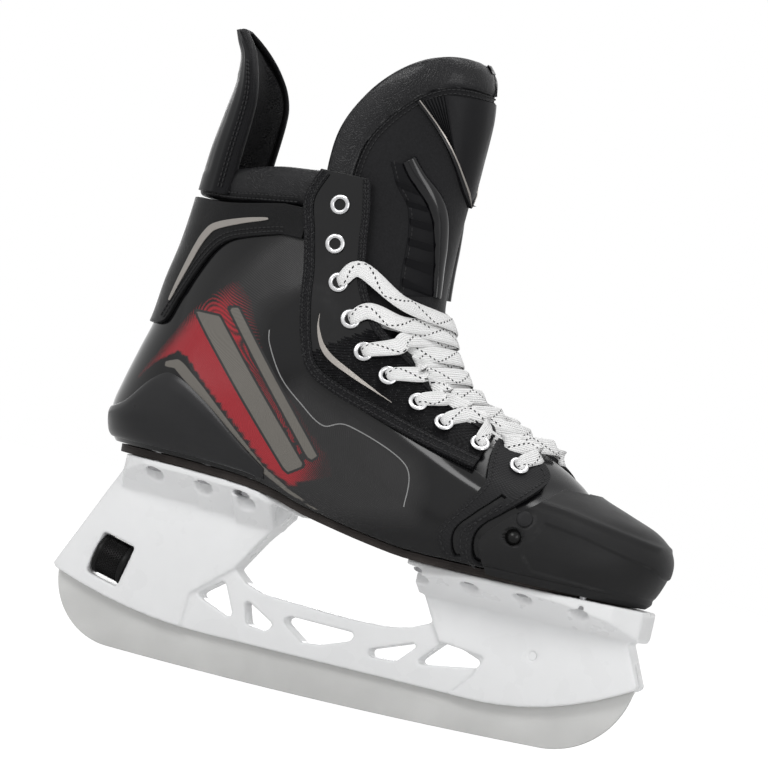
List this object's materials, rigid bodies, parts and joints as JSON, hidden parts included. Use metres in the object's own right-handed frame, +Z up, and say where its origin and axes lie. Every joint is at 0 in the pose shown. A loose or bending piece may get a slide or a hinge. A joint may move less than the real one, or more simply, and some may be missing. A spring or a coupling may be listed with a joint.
{
  "type": "ice hockey skate",
  "caption": "Laced hockey skate boot on a white blade holder with a removable steel runner, knurled lock wheel, flexing tendon guard and folding tongue.",
  "frame": {"origin": "under the middle of the steel runner, on the ice", "axes": "+X towards the toe, +Y towards the inner side of this right-foot skate, +Z up"},
  "size_m": [0.3021, 0.1028, 0.3169],
  "materials": {
    "runner_steel": "satin",
    "holder_plastic": "gloss",
    "pin_steel": "satin",
    "wheel_plastic": "knurled matte",
    "rivet_metal": "satin",
    "outsole_board": "layered matte",
    "insole_foam": "felt",
    "quarter_composite": "gloss with a fine weave",
    "liner_felt": "brushed felt",
    "counter_plastic": "satin",
    "brace_leather": "smooth",
    "collar_leather": "fine grain",
    "guard_plastic": "satin",
    "facing_leather": "patent and woven",
    "strap_fabric": "woven",
    "cap_plastic": "fine matte",
    "plug_plastic": "matte",
    "tongue_felt": "felt with a leather band",
    "insert_plastic": "gloss",
    "eyelet_nickel": "polished",
    "lace_cotton": "woven"
  },
  "bodies": {
    "boot_and_holder": {"holder": "holder_plastic", "front_pin": "pin_steel", "lock_washers": "pin_steel", "rivets_rear": "rivet_metal", "rivets_front": "rivet_metal", "rivet_washers": "rivet_metal", "outsole": "outsole_board", "insole": "insole_foam", "quarter_shell": "quarter_composite", "liner": "liner_felt", "heel_counter": "counter_plastic", "ankle_brace": "brace_leather", "collar": "collar_leather", "facing_outer": "facing_leather", "facing_inner": "facing_leather", "toe_strap_outer": "strap_fabric", "toe_strap_inner": "strap_fabric", "toe_cap": "cap_plastic", "toe_cap_plugs": "plug_plastic", "tongue_body": "tongue_felt", "tongue_insert": "insert_plastic", "eyelets_outer": "eyelet_nickel", "eyelets_inner": "eyelet_nickel", "lace": "lace_cotton"},
    "runner": {"runner": "runner_steel"},
    "lock_wheel": {"lock_wheel": "wheel_plastic"},
    "lock_bolt": {"lock_bolt": "pin_steel"},
    "tendon_guard": {"tendon_guard": "guard_plastic"},
    "tongue_top": {"tongue_top": "tongue_felt", "tongue_guard": "guard_plastic"}
  },
  "joints": [
    {"name": "wheel_turn", "type": "hinge", "parent": "boot_and_holder", "child": "lock_wheel", "pos_m": [-0.1265, 0, 0.0433], "axis": [0.9744, 0, -0.225], "range_deg": [0, 1080]},
    {"name": "bolt_slide", "type": "slide", "parent": "boot_and_holder", "child": "lock_bolt", "axis": [0.9744, 0, -0.225], "range_m": [0, 0.006]},
    {"name": "runner_drop", "type": "hinge", "parent": "boot_and_holder", "child": "runner", "pos_m": [0.093, 0, 0.046], "axis": [0, -1, 0], "range_deg": [0, 6.5]},
    {"name": "guard_flex", "type": "hinge", "parent": "boot_and_holder", "child": "tendon_guard", "pos_m": [-0.126, 0, 0.229], "axis": [0, -1, 0], "range_deg": [0, 20], "stiffness_Nm_per_rad": 1.5},
    {"name": "tongue_flop", "type": "hinge", "parent": "boot_and_holder", "child": "tongue_top", "pos_m": [0.012, 0, 0.254], "axis": [0, 1, 0], "range_deg": [0, 25], "stiffness_Nm_per_rad": 0.8}
  ],
  "couplings": [
    {"joint": "bolt_slide", "follows": "wheel_turn", "m_per_rad": 0.00031831},
    {"joint": "runner_drop", "follows": "wheel_turn", "ratio": 0.0060185}
  ]
}
